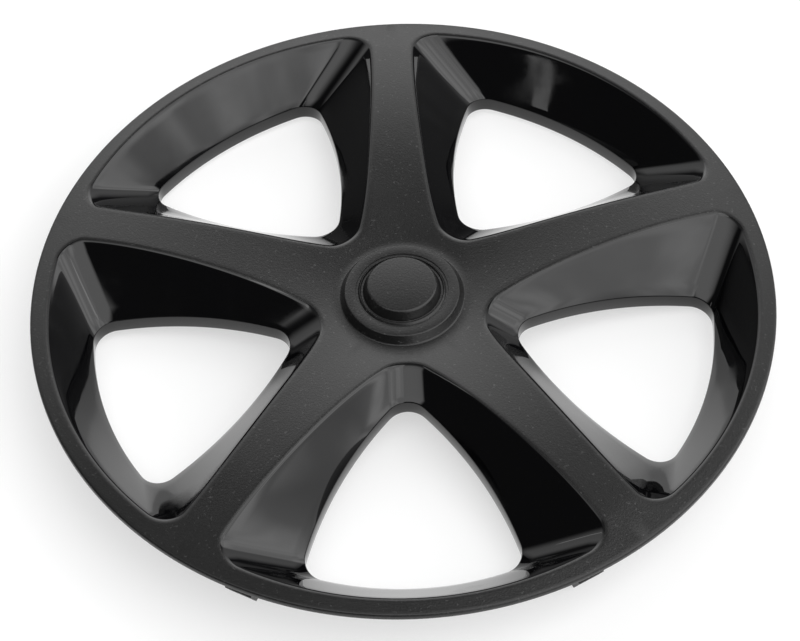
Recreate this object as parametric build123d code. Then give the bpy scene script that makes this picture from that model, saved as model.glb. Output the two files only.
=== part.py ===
from build123d import *
import os
from math import atan2, cos, radians, sin, sqrt

# A moulded wheel cover for a steel road wheel, lying face up on the feet of its
# retaining legs, with the spring wire hoop that presses those legs outwards.
# Millimetres. +Z is the cover's axis and points out of the wheel, and one spoke
# points along +Y. Heights in the sizes below count from the rim plane, where the
# face meets the outer edge. The last step lifts everything so that the feet of
# the legs stand on Z = 0.

# Overall sizes
outer_radius = 200.0
spoke_count = 5
wall = 2.5

# Crowned face: one arc from the hub to the rim band, then a plain cone
crest_radius = 124.0
crest_height = 8.25
crown_curve = 377.0
band_width = 22.0
band_drop = 4.2
edge_height = 4.0
edge_round = 1.2
flange_wall = 2.2

# Hub boss, from the button in the middle outwards
button_radius = 18.6
button_height = 8.6
button_round = 2.0
button_draft = 2.4
moat_height = 2.6
ridge_radius = 22.6
ridge_width = 1.1
ridge_height = 3.8
groove_width = 1.2
shelf_height = 3.2
shelf_radius = 30.8
shelf_round = 0.7
boss_draft = 2.6
hub_land = 4.0
boss_root = 1.6

# Pocket mouths, drawn on a plane just above the crest of the face
mouth_clear = 1.25
mouth_inset = 2.9
mouth_corner_half = 3.85
mouth_middle = 119.5
mouth_middle_half = 11.8
mouth_apex = 15.9
mouth_corner_round = 12.2
mouth_apex_round = 14.3
mouth_edge_round = 4.0

# Windows, drawn on a plane that drops towards the rim
window_inset = 31.2
window_corner_half = 46.4
window_middle = 92.5
window_middle_half = 31.8
window_apex = 59.6
window_corner_round = 12.0
window_apex_round = 12.5
window_rim_depth = 25.65
window_hub_depth = 8.9
skirt_depth = 9.0
skirt_wall = 2.0

# Stiffening behind the face
rib_wall = 2.0
rib_depth = 12.0
rib_start = 40.0
rib_end_inset = 26.0
rib_taper = 10.0
hub_rib_radius = 41.0
hub_rib_depth = 11.0

# Retaining legs, in pairs beside the spokes, and the wire that they hold
leg_depth = 38.0
leg_spread = 7.5
leg_inset = 19.0
leg_wall = 3.5
leg_width = 15.0
barb_reach = 3.5
barb_top = 23.0
barb_peak = 28.5
foot_wall = 2.6
wire_diameter = 4.0
wire_depth = 28.0
wire_clearance = 0.15
seat_lip_reach = 2.4
seat_lip_height = 2.4

# Values that follow from the sizes above
spoke_step = 360 / spoke_count
half_step = spoke_step / 2
band_radius = outer_radius - band_width
mouth_height = crest_height + mouth_clear
mouth_radius = outer_radius - mouth_inset
window_radius = outer_radius - window_inset
slope_rise = mouth_height + window_rim_depth
slope_run = mouth_radius - window_radius
slope_offset = wall * sqrt(slope_rise**2 + slope_run**2) / slope_rise
window_tilt = atan2(window_rim_depth - window_hub_depth, window_radius - window_apex)
leg_outer = outer_radius - leg_inset + leg_wall
leg_inner = outer_radius - leg_inset
wire_radius = wire_diameter / 2
hoop_radius = leg_inner - wire_clearance - wire_radius
far_below = leg_depth + wall
shelf_inner = ridge_radius + ridge_width + groove_width
boss_radius = shelf_radius + boss_draft
land_radius = boss_radius + hub_land
near = 0.01


def crown(radius):
    """Height of the crowned face at a radius."""
    away = radius - crest_radius
    return crest_height - crown_curve + sqrt(crown_curve**2 - away**2)


def face_height(radius):
    """Height of the face at a radius, on the crown or on the cone of the rim band."""
    if radius <= band_radius:
        return crown(radius)
    return crown(band_radius) - band_drop * (radius - band_radius) / band_width


def face_edges():
    """The outer face, from the axis to the foot of the outer edge, in the XZ plane."""
    land = crown(land_radius)
    edge = face_height(outer_radius)
    button_foot = button_radius + button_draft
    inner = [
        (0, button_height),
        (button_radius, button_height),
        (button_foot, moat_height),
        (ridge_radius - ridge_width / 2, moat_height),
        (ridge_radius, ridge_height),
        (ridge_radius + ridge_width, moat_height),
        (shelf_inner, moat_height),
        (shelf_inner, shelf_height),
        (shelf_radius, shelf_height),
        (boss_radius, land),
        (land_radius, land),
    ]
    lines = [Line(a, b) for a, b in zip(inner, inner[1:])]
    crest = (crest_radius, crest_height)
    band = (band_radius, crown(band_radius))
    lines.append(ThreePointArc((land_radius, land), crest, band))
    lines.append(Line(band, (outer_radius, edge)))
    lines.append(Line((outer_radius, edge), (outer_radius, edge - edge_height)))
    return lines


def rounded(profile):
    """The face's profile with its rounded edges."""
    rounds = [
        (button_radius, button_height, button_round),
        (shelf_radius, shelf_height, shelf_round),
        (boss_radius, crown(land_radius), boss_root),
        (outer_radius, face_height(outer_radius), edge_round),
    ]
    for radius, height, size in rounds:
        corner = [v for v in profile.vertices() if Vector(v.X - radius, v.Y - height).length < near]
        profile = fillet(corner, size)
    return profile


def skin():
    """The face as a shell of one wall thickness, with the turned-down outer edge."""
    land = crown(land_radius)
    edge = face_height(outer_radius)
    flange = outer_radius - flange_wall
    under = [
        (outer_radius, edge - edge_height),
        (flange, edge - edge_height),
        (flange, face_height(flange) - wall),
        (band_radius, crown(band_radius) - wall),
    ]
    lines = face_edges()
    lines += [Line(a, b) for a, b in zip(under, under[1:])]
    crest = (crest_radius, crest_height - wall)
    lines.append(ThreePointArc(under[-1], crest, (land_radius, land - wall)))
    hollow = [
        (land_radius, land - wall),
        (boss_radius - wall, land - wall),
        (shelf_radius - wall, moat_height - wall),
        (button_radius + button_draft - wall, moat_height - wall),
        (button_radius - wall, button_height - wall),
        (0, button_height - wall),
        (0, button_height),
    ]
    lines += [Line(a, b) for a, b in zip(hollow, hollow[1:])]
    return revolve(Plane.XZ * rounded(make_face(lines)), Axis.Z)


def under_face():
    """Everything below the face, to trim what stands behind it."""
    lines = face_edges()
    edge = face_height(outer_radius) - edge_height
    corners = [(outer_radius, edge), (outer_radius, -far_below), (0, -far_below), (0, button_height)]
    lines += [Line(a, b) for a, b in zip(corners, corners[1:])]
    return revolve(Plane.XZ * make_face(lines), Axis.Z)


def outline(radius, corner_half, middle, middle_half, apex, corner_round, apex_round, origin=0, stretch=1):
    """A rounded three-sided outline about the X axis, between two spokes.

    The middle and the corners are given along a spoke's axis and across it, and
    the corners lie on a circle about the hub. The outline counts X from the origin
    and stretches it, for a plane that is tilted about Y."""
    turn = radians(half_step)

    def place(along, across, side):
        x = along * cos(turn) + across * sin(turn)
        y = along * sin(turn) - across * cos(turn)
        return ((x - origin) * stretch, side * y)

    reach = sqrt(radius**2 - corner_half**2)
    tip = ((apex - origin) * stretch, 0)
    crown_point = ((radius - origin) * stretch, 0)
    left = place(reach, corner_half, 1)
    right = place(reach, corner_half, -1)
    sides = [
        ThreePointArc(right, crown_point, left),
        ThreePointArc(left, place(middle, middle_half, 1), tip),
        ThreePointArc(tip, place(middle, middle_half, -1), right),
    ]
    face = make_face(sides)
    tip_vertex = face.vertices().sort_by(Axis.X)[0]
    face = fillet(tip_vertex, apex_round)
    corners = [v for v in face.vertices() if abs(abs(v.Y) - abs(left[1])) < near]
    return fillet(corners, corner_round)


def mouth_outline():
    return outline(
        mouth_radius, mouth_corner_half, mouth_middle, mouth_middle_half,
        mouth_apex, mouth_corner_round, mouth_apex_round,
    )


def window_outline():
    return outline(
        window_radius, window_corner_half, window_middle, window_middle_half,
        window_apex, window_corner_round, window_apex_round,
        window_radius, 1 / cos(window_tilt),
    )


def grown(face, amount):
    """An outline of arcs moved outwards, with each side a true arc again."""
    return make_face([ThreePointArc(e @ 0, e @ 0.5, e @ 1) for e in offset(face, amount).edges()])


mouth_plane = Plane((0, 0, mouth_height))
window_plane = Plane(
    (window_radius, 0, -window_rim_depth),
    x_dir=(cos(window_tilt), 0, -sin(window_tilt)),
    z_dir=(sin(window_tilt), 0, cos(window_tilt)),
)


def pocket(grow=0):
    """The hollow between a mouth and its window, grown outwards for its wall's far side."""
    mouth = mouth_outline()
    window = window_outline()
    if grow:
        mouth = grown(mouth, grow)
        window = grown(window, grow)
    return loft([window_plane * window, mouth_plane * mouth], ruled=True)


def window_shaft(depth, grow=0):
    """The straight-sided passage below a window."""
    window = window_outline()
    if grow:
        window = grown(window, grow)
    return extrude(window_plane * window, amount=depth, dir=(0, 0, -1))


def mouth_edges(body):
    """The edges where the pockets break through the face."""

    def on_face(edge):
        points = [edge @ t for t in (0, 0.5, 1)]
        radii = [Vector(p.X, p.Y).length for p in points]
        level = all(abs(p.Z - face_height(r)) < near for p, r in zip(points, radii))
        return level and land_radius + near < min(radii) and max(radii) < outer_radius - near

    return [e for e in body.edges() if e.geom_type != GeomType.CIRCLE and on_face(e)]


def around(shape, start):
    """Copies of a shape about the axis, one for each spoke, with the first at an angle."""
    return [Rot(0, 0, start + i * spoke_step) * shape for i in range(spoke_count)]


def leg():
    """One retaining leg on the X axis: a springy blade with a barb and a seat for the wire."""
    top = face_height(leg_outer) - wall / 2
    seat = wire_radius + wire_clearance
    lip = leg_inner - seat_lip_reach
    section = Polyline(
        (leg_inner, top),
        (leg_outer, top),
        (leg_outer, -barb_top),
        (leg_outer + barb_reach, -barb_peak),
        (leg_inner + foot_wall, -leg_depth),
        (leg_inner, -leg_depth),
        (leg_inner, -wire_depth - seat - seat_lip_height),
        (lip, -wire_depth - seat - seat_lip_height),
        (lip, -wire_depth - seat),
        (leg_inner, -wire_depth - seat),
        (leg_inner, -wire_depth + seat),
        (lip, -wire_depth + seat),
        (leg_inner, -wire_depth + seat + seat_lip_height),
        close=True,
    )
    blade = extrude(Plane.XZ * make_face(section), amount=leg_width / 2, both=True)
    return blade


def spoke_rib():
    """A flat rib on the X axis, under the middle of a spoke, rooted halfway into the face."""
    end = outer_radius - rib_end_inset
    foot = crest_height - wall - rib_depth
    root = wall / 2
    start_top = (rib_start, face_height(rib_start) - root)
    end_top = (end, face_height(end) - root)
    edges = [
        ThreePointArc(start_top, (crest_radius, crest_height - root), end_top),
        Line(end_top, (end - rib_taper, foot)),
        Line((end - rib_taper, foot), (rib_start, foot)),
        Line((rib_start, foot), start_top),
    ]
    return extrude(Plane.XZ * make_face(edges), amount=rib_wall / 2, both=True)


def hub_rib():
    """A short round wall behind the hub."""
    foot = crown(hub_rib_radius) - hub_rib_depth
    ring = Circle(hub_rib_radius + rib_wall / 2) - Circle(hub_rib_radius - rib_wall / 2)
    return extrude(Plane((0, 0, foot)) * ring, amount=hub_rib_depth)


def cover():
    """The whole moulding."""
    first_spoke = 90
    first_window = first_spoke + half_step
    body = skin()
    body += around(pocket(slope_offset) & under_face(), first_window)
    body += around(window_shaft(skirt_depth, skirt_wall), first_window)
    body -= around(pocket(), first_window)
    body -= around(window_shaft(far_below), first_window)
    body = fillet(mouth_edges(body), mouth_edge_round)
    half_walls = around(pocket(slope_offset / 2), half_step)
    for turn in (-leg_spread, leg_spread):
        rooted = Rot(0, 0, turn) * leg() - half_walls
        body += around(rooted, first_spoke)
    body += around(spoke_rib(), first_spoke)
    body += hub_rib()
    return body


def hoop():
    """The spring wire, a closed ring in the seats of the legs."""
    section = Plane.XZ * Pos(hoop_radius, -wire_depth) * Circle(wire_radius)
    return revolve(section, Axis.Z)


lift = Pos(0, 0, leg_depth)
os.makedirs("parts", exist_ok=True)
export_step(lift * cover(), "parts/cover.step")
export_step(lift * hoop(), "parts/tension_ring.step")
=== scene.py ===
# %% [markdown]
# # A wheel cover in two blacks
# A plastic wheel cover is one moulding: a satin face with spokes, and gloss pockets between them.
# This lesson loads the packed part as a fixed frame, models the moulding again as a fine mesh for
# smooth reflections, gives each finish its own material, and lights it like a product shot.

# %% Load the frame
from math import atan2, cos, degrees, pi, radians, sin, sqrt

import bmesh
import bpy
from mathutils import Matrix, Vector, geometry
from mathutils.bvhtree import BVHTree


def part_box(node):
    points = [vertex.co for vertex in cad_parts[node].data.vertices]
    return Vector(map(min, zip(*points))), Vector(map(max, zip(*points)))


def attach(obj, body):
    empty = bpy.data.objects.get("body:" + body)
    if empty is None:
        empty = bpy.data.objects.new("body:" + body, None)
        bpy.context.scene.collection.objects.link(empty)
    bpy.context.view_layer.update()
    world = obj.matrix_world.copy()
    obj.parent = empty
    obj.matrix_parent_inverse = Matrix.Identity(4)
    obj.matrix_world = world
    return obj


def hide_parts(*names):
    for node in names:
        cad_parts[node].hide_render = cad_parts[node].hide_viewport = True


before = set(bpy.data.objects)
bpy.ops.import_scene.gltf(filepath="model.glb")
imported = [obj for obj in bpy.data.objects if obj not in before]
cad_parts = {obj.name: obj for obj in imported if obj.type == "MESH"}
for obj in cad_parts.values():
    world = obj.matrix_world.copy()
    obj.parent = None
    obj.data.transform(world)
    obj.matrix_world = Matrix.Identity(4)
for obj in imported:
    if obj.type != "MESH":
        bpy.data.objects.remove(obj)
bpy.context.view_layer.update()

print("nodes in the frame:", sorted(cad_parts))

# %% [markdown]
# ## The sizes of the moulding
# The cover's face is a shallow crown that ends in a cone band at the rim. The solid's own mesh could be
# used for it, but it has flat facets, which a gloss finish shows. So the new mesh is drawn from the same
# sizes as the solid, in millimetres as on a drawing, and scaled to metres at the end. Heights count from
# the rim plane, and the feet of the retaining legs are `leg_depth` below it.

# %% Sizes
MM = 0.001
outer_radius = 200.0
spoke_count = 5
wall = 2.5
crest_radius = 124.0
crest_height = 8.25
crown_curve = 377.0
band_width = 22.0
band_drop = 4.2
leg_depth = 38.0
band_radius = outer_radius - band_width
half_step = pi / spoke_count
low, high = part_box("cover")
print("solid is", round((high.x - low.x) / MM, 1), "mm across; mesh will be", 2 * outer_radius)


# %% Height of the face
def crown(radius):
    """Height of the crowned face at a radius."""
    away = radius - crest_radius
    return crest_height - crown_curve + sqrt(crown_curve**2 - away**2)


def face_height(radius):
    """Height of the face, on the crown or on the cone of the rim band."""
    if radius <= band_radius:
        return crown(radius)
    return crown(band_radius) - band_drop * (radius - band_radius) / band_width


print("face height at the crest:", crown(crest_radius), "at the rim:", round(face_height(outer_radius), 2))


# %% [markdown]
# ## Drawing an outline with spins
# Each pocket is a ruled form between two rounded three-sided outlines: the mouth, drawn just above
# the face, and the window, drawn on a plane that drops towards the rim. A curve object could draw
# them, but spinning one vertex about a few centres gives the same arcs, and lets us say how many
# steps each arc gets, so that the two outlines pair off vertex by vertex.

# %% Circles and turns
def circle_centre(a, b, c):
    """Centre of the circle through three points of the plane."""
    ab = b - a
    ac = c - a
    double = 2 * ab.cross(ac)
    x = (ac.y * ab.length_squared - ab.y * ac.length_squared) / double
    y = (ab.x * ac.length_squared - ac.x * ab.length_squared) / double
    return a + Vector((x, y))


def turn_between(centre, start, end):
    """Signed angle from one point of a circle to another, the short way."""
    a = start - centre
    b = end - centre
    return atan2(a.cross(b), a.dot(b))


quarter = turn_between(Vector((0, 0)), Vector((1, 0)), Vector((0, 1)))
print("from the X axis to the Y axis:", degrees(quarter), "degrees")

# %% [markdown]
# ## The mouth's outline
# Half an outline runs from its apex near the hub, along a bowed side and round a corner, to the middle
# of its outer arc. Three points fix the side's circle, and the rounds at the corner and the apex are
# circles that touch their neighbours. A bevel could make those rounds, but then the arcs beside them
# would lose their own even steps.

# %% Half an outline
apex_steps = 6
side_steps = 26
corner_steps = 12
outer_steps = 18
upwards = Vector((0, 0, 1))


class Outline:
    """Half of a rounded outline about the X axis, as arcs from its apex to its outer middle."""

    def __init__(self, radius, corner_half, middle, middle_half, apex, corner_round, apex_round,
                 origin=0.0, stretch=1.0):
        def place(along, across):
            """A point by its distance along the spoke's middle line and across from it."""
            x = along * cos(half_step) + across * sin(half_step)
            y = along * sin(half_step) - across * cos(half_step)
            return Vector(((x - origin) * stretch, y))

        corner = place(sqrt(radius**2 - corner_half**2), corner_half)
        tip = Vector(((apex - origin) * stretch, 0))
        outer_middle = Vector(((radius - origin) * stretch, 0))
        outer = circle_centre(Vector((corner.x, -corner.y)), outer_middle, corner)
        side = circle_centre(tip, place(middle, middle_half), corner)
        outer_size = (corner - outer).length
        side_size = (corner - side).length
        probe = tip + Vector((side_size / 8, 0))
        hand = -1 if (probe - side).length < side_size else 1
        meets = geometry.intersect_sphere_sphere_2d(
            outer, outer_size - corner_round, side, side_size + hand * corner_round)
        bend = min(meets, key=lambda p: (p - corner).length)
        reach = sqrt((side_size + hand * apex_round)**2 - side.y**2)
        nose_x = min((side.x + reach, side.x - reach), key=lambda x: abs(x - tip.x - apex_round))
        self.nose = Vector((nose_x, 0))
        self.apex_round = apex_round
        joins = [
            self.nose - Vector((apex_round, 0)),
            side + (self.nose - side).normalized() * side_size,
            side + (bend - side).normalized() * side_size,
            outer + (bend - outer).normalized() * outer_size,
            outer_middle,
        ]
        centres = [self.nose, side, bend, outer]
        steps = [apex_steps, side_steps, corner_steps, outer_steps]
        self.arcs = [
            (centre, turn_between(centre, a, b), count)
            for centre, a, b, count in zip(centres, joins, joins[1:], steps)
        ]

    def draw(self, bm, grow):
        """Vertices of the half outline, moved outwards by an amount."""
        start = self.nose - Vector((self.apex_round + grow, 0))
        chain = [bm.verts.new(start.to_3d())]
        for centre, angle, steps in self.arcs:
            middle = centre.to_3d()
            bmesh.ops.spin(bm, geom=[chain[-1]], cent=middle, axis=upwards, angle=angle, steps=steps)
            chain += list(bm.verts)[-steps:]
        return chain


outline_steps = apex_steps + side_steps + corner_steps + outer_steps
print("half an outline has", outline_steps, "steps")

# %% Mouth
mouth_clear = 1.25
mouth_inset = 2.9
mouth_height = crest_height + mouth_clear
mouth_radius = outer_radius - mouth_inset
mouth = Outline(
    radius=mouth_radius, corner_half=3.85, middle=119.5, middle_half=11.8,
    apex=15.9, corner_round=12.2, apex_round=14.3,
)
print("mouth arcs, degrees:", [round(degrees(turn), 1) for centre, turn, steps in mouth.arcs])

# %% [markdown]
# ## The window's tilted outline
# The opening lies deeper at the rim than at the hub, so its outline is on a tilted plane. It could be
# drawn there point by point, but it is simpler to draw it flat, a little longer than it looks from
# above, and then to turn it down about its outer end.

# %% Window
window_inset = 31.2
window_apex = 59.6
window_rim_depth = 25.65
window_hub_depth = 8.9
window_radius = outer_radius - window_inset
window_tilt = atan2(window_rim_depth - window_hub_depth, window_radius - window_apex)
window = Outline(
    radius=window_radius, corner_half=46.4, middle=92.5, middle_half=31.8,
    apex=window_apex, corner_round=12.0, apex_round=12.5,
    origin=window_radius, stretch=1 / cos(window_tilt),
)
window_place = Matrix.Translation((window_radius, 0, -window_rim_depth))
window_place = window_place @ Matrix.Rotation(window_tilt, 4, "Y")
print("window tilt:", round(degrees(window_tilt), 2), "degrees")
print("window arcs, degrees:", [round(degrees(turn), 1) for centre, turn, steps in window.arcs])

# %% [markdown]
# ## Half of one sector
# The cover repeats for each spoke, and each sector is its own mirror image, so half of one is all
# that has to be modelled. A sheet runs from the window's lip up to the brim of the pocket, and on from
# there to the hub, the spoke's middle line and the rim. A boolean could cut the pockets out of a plate,
# but bridging from chain to chain keeps rows of faces along the edges, and reflections stay clean.

# %% Brim and border of a sheet
halvings = 40
hub_steps = 7
rim_corner = apex_steps + side_steps + corner_steps // 2 + 1
rim_arc = apex_steps + side_steps + corner_steps
land_radius = 37.4
spoke_line = Vector((cos(half_step), sin(half_step)))


def meet_face(start, end, drop):
    """Where a straight line from below meets the face, or the sheet that lies a drop below it."""
    near_end, far_end = 0.0, 1.0
    for _ in range(halvings):
        middle = (near_end + far_end) / 2
        point = start.lerp(end, middle)
        if point.z < face_height(point.xy.length) - drop:
            near_end = middle
        else:
            far_end = middle
    return start.lerp(end, near_end)


def draw_border(bm, brim, rim):
    """Vertices round the half sector's face, each beside one of the mouth's."""
    chain = []
    arc_start = brim[rim_arc].co.xy
    arc_turn = atan2(arc_start.y, arc_start.x)
    for i, vertex in enumerate(brim):
        flat = vertex.co.xy
        if i <= hub_steps:
            turn = half_step * i / hub_steps
            flat = Vector((cos(turn), sin(turn))) * land_radius
        elif i < rim_corner:
            flat = spoke_line * flat.dot(spoke_line)
        elif i < rim_arc:
            share = (i - rim_corner) / (rim_arc - rim_corner)
            turn = half_step + share * (arc_turn - half_step)
            flat = Vector((cos(turn), sin(turn))) * rim
        else:
            flat = flat.normalized() * rim
        chain.append(bm.verts.new(flat.to_3d()))
        if i:
            bm.edges.new(chain[-2:])
    return chain


print("border:", hub_steps, "steps at the hub,", outline_steps - rim_corner, "at the rim")

# %% Chains of the face and of its underside
flange_wall = 2.2
skirt_wall = 2.0
flange = outer_radius - flange_wall
slope_rise = mouth_height + window_rim_depth
slope_run = mouth_radius - window_radius
slope_offset = wall * sqrt(slope_rise**2 + slope_run**2) / slope_rise


def draw_chains(bm, lip_grow, mouth_grow, drop, rim):
    """The lip, the brim and the border of one side of the moulding's wall."""
    lip = window.draw(bm, lip_grow)
    bmesh.ops.transform(bm, matrix=window_place, verts=lip)
    brim = mouth.draw(bm, mouth_grow)
    bmesh.ops.translate(bm, vec=(0, 0, mouth_height), verts=brim)
    for below, above in zip(lip, brim):
        above.co = meet_face(below.co, above.co, drop)
    border = draw_border(bm, brim, rim)
    for vertex in border:
        vertex.co.z = face_height(vertex.co.xy.length) - drop
    return lip, brim, border


bm = bmesh.new()
marks = bm.edges.layers.int.new("round")
lip, brim, border = draw_chains(bm, 0.0, 0.0, 0.0, outer_radius)
lip_under, brim_under, border_under = draw_chains(bm, skirt_wall, slope_offset, wall, flange)
print("each chain has", len(lip), "vertices")

# %% [markdown]
# ## Skin between the chains
# The slopes are gloss and the face is satin, so each bridge gives its faces a material number. Edges
# get a mark in a layer of their own: some will be rounded, and others show where rows of faces are to
# be cut. A list of edges would be simpler, but the operators that cut make new edges, and the old
# names in Python stop working, while a mark stays with the mesh.

# %% Bridges
mouth_mark, lip_mark, rim_mark, slope_mark, face_mark, under_mark = range(1, 7)
satin = 0
gloss = 1


def links(bm, chain):
    """The edges along a chain of vertices."""
    return [bm.edges.get(pair) for pair in zip(chain, chain[1:])]


def bridge(bm, a, b, material, mark):
    """Faces between two chains, with a mark on the edges that cross from one to the other."""
    made = bmesh.ops.bridge_loops(bm, edges=links(bm, a) + links(bm, b))
    for face in made["faces"]:
        face.material_index = material
    for pair in zip(a, b):
        bm.edges.get(pair)[marks] = mark


bridge(bm, lip, brim, gloss, slope_mark)
bridge(bm, brim, border, satin, face_mark)
bridge(bm, lip_under, brim_under, gloss, slope_mark)
bridge(bm, brim_under, border_under, satin, under_mark)
rim_top = border[rim_corner:]
rim_under = border_under[rim_corner:]
for chain, mark in ((brim, mouth_mark), (lip, lip_mark), (rim_top, rim_mark)):
    for edge in links(bm, chain):
        edge[marks] = mark
print("bridged:", len(bm.faces), "faces")

# %% [markdown]
# ## Skirt and rim
# Round each window a short skirt hangs down, and at the rim the face turns down over the wheel's edge.
# On both the top sheet and the underside an edge chain is pulled straight down, and a last bridge
# closes the bottom. A Solidify modifier could give the wall its thickness too, but here the skirt, the
# pocket and the rim each have a thickness of their own.

# %% Walls that hang down
edge_height = 4.0
skirt_depth = 9.0
edge_foot = face_height(outer_radius) - edge_height
flange_drop = face_height(flange) - wall - edge_foot


def hang(bm, chain, drop):
    """A wall straight down from a chain. Returns its bottom edges."""
    made = bmesh.ops.extrude_edge_only(bm, edges=links(bm, chain))["geom"]
    fresh = [g for g in made if isinstance(g, bmesh.types.BMVert)]
    bmesh.ops.translate(bm, vec=(0, 0, -drop), verts=fresh)
    material = chain[0].link_faces[0].material_index
    for face in {f for v in fresh for f in v.link_faces}:
        face.material_index = material
    below = set(fresh)
    return [g for g in made if isinstance(g, bmesh.types.BMEdge) and below.issuperset(g.verts)]


skirt_edges = hang(bm, lip, skirt_depth) + hang(bm, lip_under, skirt_depth)
rim_edges = hang(bm, rim_top, edge_height) + hang(bm, rim_under, flange_drop)
bmesh.ops.bridge_loops(bm, edges=skirt_edges)
bmesh.ops.bridge_loops(bm, edges=rim_edges)
print("with skirt and rim:", len(bm.faces), "faces")

# %% [markdown]
# ## Rows of faces
# A bridge runs straight from the brim to the border, but the real face is crowned. A Subdivision Surface
# modifier would bend it by a rule of its own. Cutting the marked edges into rows and setting each new
# vertex on the crown makes the mesh as curved as the solid.

# %% Rows of faces
slope_cuts = 5
face_cuts = 3


def cut_rows(bm, mark, cuts):
    """Cuts the faces crossed by marked edges into rows. Returns the new vertices."""
    crossing = [e for e in bm.edges if e[marks] == mark]
    made = bmesh.ops.subdivide_edges(bm, edges=crossing, cuts=cuts, use_grid_fill=True)
    return [g for g in made["geom_inner"] if isinstance(g, bmesh.types.BMVert)]


cut_rows(bm, slope_mark, slope_cuts)
for mark, drop in ((face_mark, 0.0), (under_mark, wall)):
    for vertex in cut_rows(bm, mark, face_cuts):
        vertex.co.z = face_height(vertex.co.xy.length) - drop
print("half sector:", len(bm.verts), "vertices,", len(bm.faces), "faces")

# %% [markdown]
# ## The hub, as a turned profile
# The plain boss in the middle carries a button, a moat with a fine ridge, and a shelf. A pattern maker
# would turn it on a lathe, and so do we: a profile is drawn in the XZ plane, its corners are rounded
# as vertices, and it is spun through the half sector with the same steps as the sheets beside it.

# %% Hub from above
button_radius = 18.6
button_height = 8.6
button_round = 1.2
button_foot = 21.0
button_foot_round = 0.3
moat_height = 2.6
ridge_radius = 22.6
ridge_width = 1.1
ridge_height = 3.8
ridge_round = 0.3
shelf_inner = 24.9
shelf_foot_round = 0.1
shelf_height = 3.2
shelf_lip_round = 0.15
shelf_radius = 30.8
shelf_round = 0.6
boss_radius = 33.4
boss_round = 0.8
land_height = crown(land_radius)


def spin_profile(bm, points):
    """A profile of radius, height and rounding, turned through half a sector."""
    old = set(bm.edges)
    chain = [bm.verts.new((radius, 0, height)) for radius, height, size in points]
    for pair in zip(chain, chain[1:]):
        bm.edges.new(pair)
    for vertex, (radius, height, size) in zip(chain, points):
        if size:
            bmesh.ops.bevel(bm, geom=[vertex], offset=size, offset_type="OFFSET", segments=4, profile=0.5,
                            affect="VERTICES", material=-1)
    fresh = [e for e in bm.edges if e not in old]
    verts = list(dict.fromkeys(v for e in fresh for v in e.verts))
    bmesh.ops.spin(bm, geom=verts + fresh, axis=upwards, angle=half_step, steps=hub_steps)


spin_profile(bm, [
    (0, button_height, 0),
    (button_radius, button_height, button_round),
    (button_foot, moat_height, button_foot_round),
    (ridge_radius - ridge_width / 2, moat_height, 0),
    (ridge_radius, ridge_height, ridge_round),
    (ridge_radius + ridge_width, moat_height, 0),
    (shelf_inner, moat_height, shelf_foot_round),
    (shelf_inner, shelf_height, shelf_lip_round),
    (shelf_radius, shelf_height, shelf_round),
    (boss_radius, land_height, boss_round),
    (land_radius, land_height, 0),
])
print("with the hub's top:", len(bm.verts), "vertices")

# %% Hub from below
spin_profile(bm, [
    (0, button_height - wall, 0),
    (button_radius - wall, button_height - wall, 0),
    (button_foot - wall, moat_height - wall, 0),
    (shelf_radius - wall, moat_height - wall, 0),
    (boss_radius - wall, land_height - wall, 0),
    (land_radius, land_height - wall, 0),
])
print("with the hub's underside:", len(bm.verts), "vertices")

# %% [markdown]
# ## Five sectors, welded
# The half is mirrored, and the sector is copied round the axis. Mirror and Array modifiers could do it,
# but the legs that come later need the finished shell. Welding the seams makes one closed skin, which
# an edge count can prove: each edge then has exactly two faces.

# %% Mirror, copy and weld
weld = 0.01
copies = spoke_count - 1
sweep = copies * 2 * half_step
everything = bm.verts[:] + bm.edges[:] + bm.faces[:]
bmesh.ops.mirror(bm, geom=everything, axis="Y", merge_dist=weld)
everything = bm.verts[:] + bm.edges[:] + bm.faces[:]
bmesh.ops.spin(bm, geom=everything, axis=upwards, angle=sweep, steps=copies, use_duplicate=True)
bmesh.ops.remove_doubles(bm, verts=bm.verts[:], dist=weld)
bmesh.ops.recalc_face_normals(bm, faces=bm.faces[:])
open_edges = [e for e in bm.edges if not e.is_manifold]
print("welded:", len(bm.verts), "vertices,", len(open_edges), "open edges")

# %% [markdown]
# ## Rounded edges
# A moulding has no sharp edges, and the rounds catch the light: they draw the thin pale lines round each
# pocket. A Bevel modifier could make them, but the marks let each kind of edge have its own size.

# %% Rounded edges
mouth_bevel = 1.8
lip_bevel = 0.6
edge_round = 1.2


def round_edges(bm, mark, size, segments):
    """Rounds every edge that carries a mark."""
    marked = [e for e in bm.edges if e[marks] == mark]
    bmesh.ops.bevel(bm, geom=marked, offset=size, offset_type="OFFSET", segments=segments, profile=0.5,
                    affect="EDGES", material=-1, clamp_overlap=True)


round_edges(bm, mouth_mark, mouth_bevel, segments=6)
round_edges(bm, lip_mark, lip_bevel, segments=3)
round_edges(bm, rim_mark, edge_round, segments=4)
print("rounded:", len(bm.verts), "vertices,", len(bm.faces), "faces")

# %% [markdown]
# ## Retaining legs
# Ten springy legs with barbs hold the cover in the wheel's rim, and a seat in each takes the wire hoop.
# They belong to the same moulding. Each is a section drawn in the XZ plane and extruded sideways. Legs
# that simply run up through the wall would show in the gloss pockets, so a ray from each vertex of the
# top finds the wall above it, and the leg grows until it is halfway into that wall.

# %% Extruded sections
shell = BVHTree.FromBMesh(bm)


def verts_of(made):
    """The vertices in what an operator made."""
    return [g for g in made["geom"] if isinstance(g, bmesh.types.BMVert)]


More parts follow.
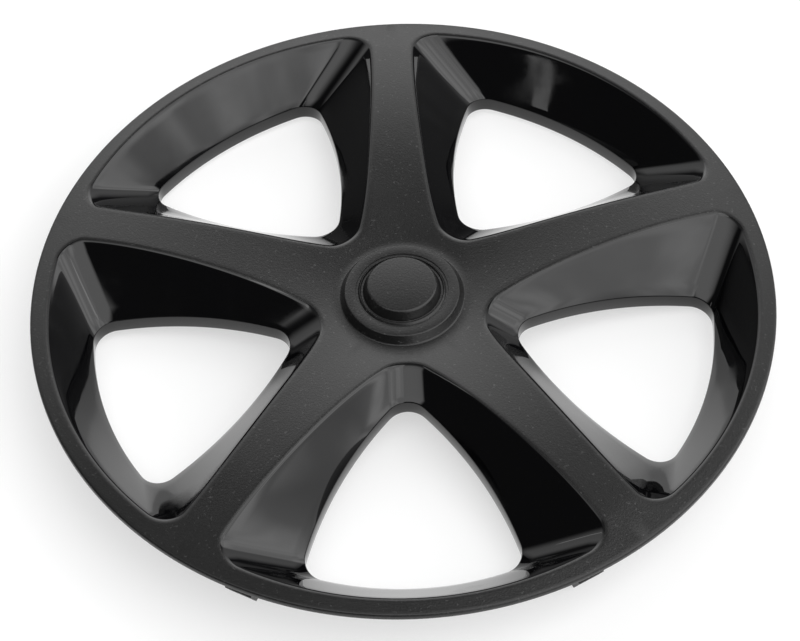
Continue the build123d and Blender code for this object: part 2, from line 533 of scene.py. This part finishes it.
def extrude_section(bm, points, width, columns):
    """A section in the XZ plane extruded across Y in columns. Returns all its vertices."""
    corners = [bm.verts.new((x, -width / 2, z)) for x, z in points]
    region = [bm.faces.new(corners)]
    every = list(corners)
    for column in range(columns):
        made = bmesh.ops.extrude_face_region(bm, geom=region)
        bmesh.ops.translate(bm, vec=(0, width / columns, 0), verts=verts_of(made))
        if column:
            bmesh.ops.delete(bm, geom=region, context="FACES_ONLY")
        region = [g for g in made["geom"] if isinstance(g, bmesh.types.BMFace)]
        every += verts_of(made)
    return every


print("shell for the rays:", len(bm.faces), "faces")

# %% Ten legs
leg_spread = radians(7.5)
leg_inset = 19.0
leg_wall = 3.5
leg_inner = outer_radius - leg_inset
leg_outer = leg_inner + leg_wall
leg_width = 15.0
leg_columns = 5
barb_reach = 3.5
barb_top = 23.0
barb_peak = 28.5
foot_wall = 2.6
wire_depth = 28.0
seat = 2.15
seat_reach = 2.4
seat_lip = leg_inner - seat_reach
seat_lip_height = 2.4


def add_leg(bm, angle):
    """A leg at an angle about the axis, grown up into the wall above it."""
    lip_top = -wire_depth - seat
    verts = extrude_section(bm, [
        (leg_inner, -barb_top),
        (leg_outer, -barb_top),
        (leg_outer + barb_reach, -barb_peak),
        (leg_inner + foot_wall, -leg_depth),
        (leg_inner, -leg_depth),
        (leg_inner, lip_top - seat_lip_height),
        (seat_lip, lip_top - seat_lip_height),
        (seat_lip, lip_top),
        (leg_inner, lip_top),
        (leg_inner, -wire_depth + seat),
        (seat_lip, -wire_depth + seat),
        (leg_inner, -wire_depth + seat + seat_lip_height),
    ], leg_width, leg_columns)
    bmesh.ops.rotate(bm, matrix=Matrix.Rotation(angle, 3, "Z"), verts=verts)
    top = {v for v in verts if abs(v.co.z + barb_top) < weld}
    caps = {f for v in top for f in v.link_faces if top.issuperset(f.verts)}
    for vertex in verts_of(bmesh.ops.extrude_face_region(bm, geom=list(caps))):
        hit = shell.ray_cast(vertex.co, upwards)[0]
        vertex.co.z = hit.z + wall / 2
    bmesh.ops.delete(bm, geom=list(caps), context="FACES")


spoke_angles = [half_step * (2 * i + 1) for i in range(spoke_count)]
for angle in spoke_angles:
    add_leg(bm, angle - leg_spread)
    add_leg(bm, angle + leg_spread)
print("with the legs:", len(bm.faces), "faces")

# %% [markdown]
# ## Ribs
# A thin rib keeps each spoke flat, and a round one stiffens the hub. The spoke's rib follows the crown,
# so its section has a row of points along the top and only two at the foot. The round rib could be a
# cut from a cylinder, but a section that is spun once round is closed from the start. Both have their
# tops in the middle of the face's wall, where they don't show.

# %% Ribs of the spokes and the hub
rib_wall = 2.0
rib_depth = 12.0
rib_foot = crest_height - wall - rib_depth
rib_start = 40.0
rib_inset = 26.0
rib_end = outer_radius - rib_inset
rib_taper = 10.0
rib_spans = 12
hub_rib_radius = 41.0
hub_rib_depth = 11.0


def add_rib(bm, angle):
    """A rib under a spoke, with its top in the middle of the face's wall."""
    span = (rib_end - rib_start) / rib_spans
    radii = [rib_start + span * i for i in range(rib_spans + 1)]
    top = [(radius, crown(radius) - wall / 2) for radius in radii]
    foot = [(rib_end - rib_taper, rib_foot), (rib_start, rib_foot)]
    verts = extrude_section(bm, top + foot, rib_wall, columns=1)
    bmesh.ops.rotate(bm, matrix=Matrix.Rotation(angle, 3, "Z"), verts=verts)


def add_hub_rib(bm):
    """A round wall behind the hub, spun from its section."""
    top = crown(hub_rib_radius)
    inner = hub_rib_radius - rib_wall / 2
    outer = hub_rib_radius + rib_wall / 2
    foot = top - hub_rib_depth
    root = top - wall / 2
    section = [(inner, foot), (outer, foot), (outer, root), (inner, root)]
    chain = [bm.verts.new((radius, 0, height)) for radius, height in section]
    loop = [bm.edges.new((chain[i - 1], chain[i])) for i in range(len(chain))]
    steps = 2 * spoke_count * hub_steps
    bmesh.ops.spin(bm, geom=chain + loop, axis=upwards, angle=2 * pi, steps=steps, use_merge=True)


for angle in spoke_angles:
    add_rib(bm, angle)
add_hub_rib(bm)
open_edges = [e for e in bm.edges if not e.is_manifold]
print("with legs and ribs:", len(bm.faces), "faces,", len(open_edges), "open edges")

# %% [markdown]
# ## One object in the frame
# The mesh was drawn with a window on the X axis. The part has a spoke along +Y and stands on the feet
# of its legs. The object could be turned and lifted, but its vertices are moved instead, so that the
# mesh itself is in the shared frame. Faces are shaded smooth except across real corners, because a
# gloss surface shows every facet.

# %% Into place
sharp_turn = radians(40)
first_window = pi / 2 - half_step
place = Matrix.Translation((0, 0, leg_depth)) @ Matrix.Rotation(first_window, 4, "Z")
place = Matrix.Scale(MM, 4) @ place
bmesh.ops.transform(bm, matrix=place, verts=bm.verts[:])
bmesh.ops.recalc_face_normals(bm, faces=bm.faces[:])
for face in bm.faces:
    face.smooth = True
for edge in bm.edges:
    edge.smooth = edge.calc_face_angle(0.0) < sharp_turn
mesh = bpy.data.meshes.new("cover_moulding")
bm.to_mesh(mesh)
bm.free()
moulding = bpy.data.objects.new("cover_moulding", mesh)
bpy.context.scene.collection.objects.link(moulding)
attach(moulding, "root")
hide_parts("cover")
print("moulding:", [round(d, 4) for d in moulding.dimensions])


# %% [markdown]
# ## Shaders from a few wires
# A shader is a web of nodes, and adding them one by one makes long, dull code. A small class wraps a
# node's output instead, so that shader maths reads like maths, and its method `make` adds any other
# node from its type, its settings and its inputs.

# %% Wires
class Wire:
    """An output socket that can be added, multiplied and so on."""

    def __init__(self, tree, socket):
        self.tree = tree
        self.socket = socket

    @classmethod
    def make(cls, tree, kind, settings, inputs, output=0):
        """A node of a kind. An input that is a Wire is linked, and any other value is set."""
        node = tree.nodes.new(kind)
        for name, value in settings.items():
            setattr(node, name, value)
        for name, value in inputs.items():
            if isinstance(value, Wire):
                tree.links.new(value.socket, node.inputs[name])
            else:
                node.inputs[name].default_value = value
        return cls(tree, node.outputs[output] if node.outputs else None)

    def math(self, operation, a, b):
        """A Math node on two values."""
        return self.make(self.tree, "ShaderNodeMath", {"operation": operation}, {0: a, 1: b})

    def most(self, other):
        """The larger of two values."""
        return self.math("MAXIMUM", self, other)

    def __add__(self, other):
        return self.math("ADD", self, other)

    def __sub__(self, other):
        return self.math("SUBTRACT", self, other)

    def __rsub__(self, other):
        return self.math("SUBTRACT", other, self)

    def __mul__(self, other):
        return self.math("MULTIPLY", self, other)

    def __truediv__(self, other):
        return self.math("DIVIDE", self, other)

    def __rtruediv__(self, other):
        return self.math("DIVIDE", other, self)

    def __pow__(self, other):
        return self.math("POWER", self, other)

    def __rpow__(self, other):
        return self.math("POWER", other, self)

    __radd__ = __add__
    __rmul__ = __mul__


print("reflected forms:", [name for name in vars(Wire) if name.startswith("__r")])

# %% [markdown]
# ## Zinc on the wire
# The hoop behind the legs is plated spring wire. Its CAD mesh has the right shape, so it keeps it and
# only gets a better material. One even roughness would look like chrome, and noise in it makes the dull
# and bright patches that zinc has. This is the simplest finish, so it comes first, and the functions
# made for it serve the others.

# %% Spring wire
zinc_rough = 0.25
zinc_cloud_rough = 0.2


def noise(where, scale, detail):
    """Cloudy noise over a wire of coordinates."""
    inputs = {"Vector": where, "Scale": scale, "Detail": detail}
    return Wire.make(where.tree, "ShaderNodeTexNoise", {}, inputs, "Fac")


def wire_up(owner, build, end):
    """Gives a material or a world the surface that a build function makes."""
    owner.use_nodes = True
    tree = owner.node_tree
    tree.nodes.clear()
    Wire.make(tree, end, {}, {"Surface": build(tree)})
    print(owner.name, "has", len(tree.nodes), "nodes")


def new_material(name, build):
    """A material whose surface is what the build function returns."""
    material = bpy.data.materials.new(name)
    wire_up(material, build, "ShaderNodeOutputMaterial")
    return material


def wire_steel(tree):
    """Zinc-plated spring wire."""
    where = Wire.make(tree, "ShaderNodeTexCoord", {}, {}, "Object")
    cloud = noise(where, scale=120.0, detail=4.0)
    return Wire.make(tree, "ShaderNodeBsdfPrincipled", {}, {
        "Base Color": (0.55, 0.56, 0.57, 1),
        "Metallic": 1.0,
        "Roughness": zinc_rough + zinc_cloud_rough * cloud,
    })


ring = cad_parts["tension_ring"]
ring.data.materials.clear()
ring.data.materials.append(new_material("spring_wire", wire_steel))

# %% [markdown]
# ## Satin on the face
# The face of such a cover has the fine grain of a textured mould, which scatters light. A picture of
# grain could be wrapped round it, but noise on Object coordinates needs no unwrapping and has no seams.
# Black plastic hardly varies in colour, so roughness and a fine bump do nearly all the work, and a few
# pale specks are the dust that black always shows.

# %% Satin black
satin_shade = 0.001
satin_cloud_shade = 0.003
satin_grain_shade = 0.008
satin_speck_shade = 0.03
satin_rough = 0.25
satin_cloud_rough = 0.1
satin_grain_rough = 0.04


def step_up(value, low, high):
    """A soft step from 0 to 1 as a wire's value goes from low to high."""
    settings = {"interpolation_type": "SMOOTHSTEP"}
    inputs = {"Value": value, "From Min": low, "From Max": high}
    return Wire.make(value.tree, "ShaderNodeMapRange", settings, inputs, "Result")


def bump(height, strength, distance):
    """A normal that follows a wire's value as a height."""
    inputs = {"Height": height, "Strength": strength, "Distance": distance}
    return Wire.make(height.tree, "ShaderNodeBump", {}, inputs, "Normal")


def satin_plastic(tree):
    """Grained black plastic with a few pale specks."""
    where = Wire.make(tree, "ShaderNodeTexCoord", {}, {}, "Object")
    grain = noise(where, scale=950.0, detail=3.0)
    cloud = noise(where, scale=22.0, detail=4.0)
    speck = step_up(noise(where, scale=600.0, detail=2.0), low=0.63, high=0.75)
    shade = satin_shade + satin_cloud_shade * cloud + satin_grain_shade * grain + satin_speck_shade * speck
    colour = Wire.make(tree, "ShaderNodeCombineColor", {}, {"Red": shade, "Green": shade, "Blue": shade})
    return Wire.make(tree, "ShaderNodeBsdfPrincipled", {}, {
        "Base Color": colour,
        "Roughness": satin_rough + satin_cloud_rough * cloud + satin_grain_rough * grain,
        "Specular IOR Level": 0.42,
        "Normal": bump(grain, strength=0.5, distance=0.0002),
    })


mesh.materials.append(new_material("satin_black", satin_plastic))

# %% [markdown]
# ## Gloss in the pockets
# The pockets come from a polished part of the mould, so they mirror the room. One even, low roughness
# would look like glass. Hazy patches in the roughness and a slow wave in the normal bend and dull the
# reflections a little, as on a real moulding.

# %% Gloss black
gloss_rough = 0.02
gloss_haze = 0.22


def gloss_plastic(tree):
    """Polished black plastic, hazy in places and slightly wavy."""
    where = Wire.make(tree, "ShaderNodeTexCoord", {}, {}, "Object")
    cloud = noise(where, scale=30.0, detail=5.0)
    wave = noise(where, scale=35.0, detail=1.0)
    return Wire.make(tree, "ShaderNodeBsdfPrincipled", {}, {
        "Base Color": (0.0015, 0.0015, 0.0018, 1),
        "Roughness": gloss_rough + gloss_haze * step_up(cloud, low=0.45, high=0.8),
        "Normal": bump(wave, strength=0.06, distance=0.002),
    })


mesh.materials.append(new_material("gloss_black", gloss_plastic))

# %% [markdown]
# ## A studio of white cards
# Black plastic is only seen by what it reflects, and the photo's slopes tell what stood round it: a
# large white card on the right, one behind, a pale ceiling in front, and a dark room on the left. Area
# lights could be those cards, but soft steps of the world's direction give them soft edges. The camera
# sees plain white instead, because the photo is cut out on white.

# %% World
room_light = 0.05
card_light = 1.75
card_turn = radians(-23)
card_sides = (0.5, 0.62)
card_foot = (0.06, 0.16)
card_rise = (0.2, 0.5)
card_patches = (0.32, 0.66)
card_low = 0.58
card_rise_light = 0.45
card_patch_light = 0.7
ceiling_light = 1.1
ceiling_edge = (0.66, 0.78)
ceiling_end = (-0.4, 0.1)
ceiling_fall = 0.9
back_light = 1.4
back_sides = (0.02, 0.3)
back_side_fall = 0.6
back_front = (0.2, 0.5)
back_foot = (0.15, 0.35)
back_top = (0.55, 0.98)


def studio_world(tree):
    """White cards in a dark room, on plain white for the camera."""
    way = Wire.make(tree, "ShaderNodeTexCoord", {}, {}, "Generated")
    x, y, z = [Wire.make(tree, "ShaderNodeSeparateXYZ", {}, {"Vector": way}, axis) for axis in "XYZ"]
    towards = (cos(card_turn) * x + sin(card_turn) * y) / (x * x + y * y) ** 0.5
    uneven = step_up(noise(way, scale=4.0, detail=1.5), *card_patches)
    card_shade = card_low + card_rise_light * step_up(z, *card_rise) + card_patch_light * uneven
    right_card = card_shade * step_up(towards, *card_sides) * step_up(z, *card_foot)
    ceiling = ceiling_light * step_up(z, *ceiling_edge) * (1.0 - ceiling_fall * step_up(y, *ceiling_end))
    back_shade = (1.0 - step_up(z, *back_top)) * (1.0 - back_side_fall * step_up(x * x, *back_sides))
    back_card = back_light * back_shade * step_up(y, *back_front) * step_up(z, *back_foot)
    glow = room_light + card_light * right_card.most(ceiling).most(back_card)
    direct = Wire.make(tree, "ShaderNodeLightPath", {}, {}, "Is Camera Ray")
    strength = glow + direct * (1.0 - glow)
    return Wire.make(tree, "ShaderNodeBackground", {}, {"Color": (1, 1, 1, 1), "Strength": strength})


world = bpy.data.worlds.new("studio")
bpy.context.scene.world = world
wire_up(world, studio_world, "ShaderNodeOutputWorld")

# %% [markdown]
# ## The floor
# The cover lies on white paper. Light strong enough to make the paper pure white would wash out the
# black plastic, so half of what the camera and the mirrors see of the floor is plain white, and the
# other half is lit paper, which keeps the cover's shadow.

# %% White paper
floor_half = 3.0
plain_share = 0.5
plain_light = 1.1


def pale_floor(tree):
    """White paper, half replaced by plain white where the camera or a mirror sees it."""
    lit = Wire.make(tree, "ShaderNodeBsdfPrincipled", {}, {
        "Base Color": (0.9, 0.9, 0.9, 1),
        "Roughness": 0.9,
        "Specular IOR Level": 0.1,
    })
    white = Wire.make(tree, "ShaderNodeEmission", {}, {"Strength": plain_light})
    direct = Wire.make(tree, "ShaderNodeLightPath", {}, {}, "Is Camera Ray")
    mirrored = Wire.make(tree, "ShaderNodeLightPath", {}, {}, "Is Glossy Ray")
    share = plain_share * (direct + mirrored)
    return Wire.make(tree, "ShaderNodeMixShader", {}, {0: share, 1: lit, 2: white})


floor_mesh = bpy.data.meshes.new("floor")
bm = bmesh.new()
bmesh.ops.create_grid(bm, x_segments=1, y_segments=1, size=floor_half)
bm.to_mesh(floor_mesh)
bm.free()
floor_mesh.materials.append(new_material("pale_floor", pale_floor))
floor = bpy.data.objects.new("floor", floor_mesh)
bpy.context.scene.collection.objects.link(floor)
print("floor:", [round(d, 2) for d in floor.dimensions])

# %% [markdown]
# ## One strip of light
# The upper right pocket mirrors one bright upright strip that no other pocket shows, so what made it
# stood close by. A card in the world is endlessly far away, and would show in other pockets too. A small
# area light near the cover shows only where its own mirror line runs. It is hidden from the camera.

# %% Strip light
strip_aim = Vector((0.075, 0.17, 0.03))
strip_way = Vector((-0.585, -0.672, 0.454))
strip_distance = 0.3
strip_width = 0.02
strip_height = 0.08
strip_power = 0.008
light = bpy.data.lights.new("left_strip", "AREA")
light.shape = "RECTANGLE"
light.size = strip_width
light.size_y = strip_height
light.energy = strip_power
strip = bpy.data.objects.new("left_strip", light)
strip.location = strip_aim + strip_distance * strip_way
strip.rotation_euler = (-strip_way).to_track_quat("-Z", "Y").to_euler()
strip.visible_camera = False
bpy.context.scene.collection.objects.link(strip)
print("strip light at", [round(c, 3) for c in strip.location])

# %% [markdown]
# ## The photo's camera
# A round rim seen as an ellipse gives the camera's height, and the difference between the near and the
# far windows gives its distance. A Track To constraint could aim it, but it would undo the small roll
# that the photo has, so the camera is built from its own three axes.

# %% Camera
elevation = radians(52.848)
roll = radians(-2.424)
target = Vector((-0.00176, -0.01818, leg_depth * MM))
distance = 1.3428
focal_length = 113.37
sensor_width = 36.0
look = Vector((0, cos(elevation), -sin(elevation)))
level_up = Vector((0, sin(elevation), cos(elevation)))
across = Vector((1, 0, 0))
right = cos(roll) * across + sin(roll) * level_up
up = -sin(roll) * across + cos(roll) * level_up
camera_data = bpy.data.cameras.new("camera")
camera_data.lens = focal_length
camera_data.sensor_width = sensor_width
camera = bpy.data.objects.new("camera", camera_data)
turn = Matrix((right, up, -look)).transposed().to_4x4()
camera.matrix_world = Matrix.Translation(target - look * distance) @ turn
bpy.context.scene.collection.objects.link(camera)
bpy.context.scene.camera = camera
bpy.context.scene.view_settings.view_transform = "Standard"
print("camera at", [round(c, 3) for c in camera.location])

# %% [markdown]
# ## The size of the dressed part
# The dressed part must fill the same box as the solids, or it wouldn't fit where the part fits.
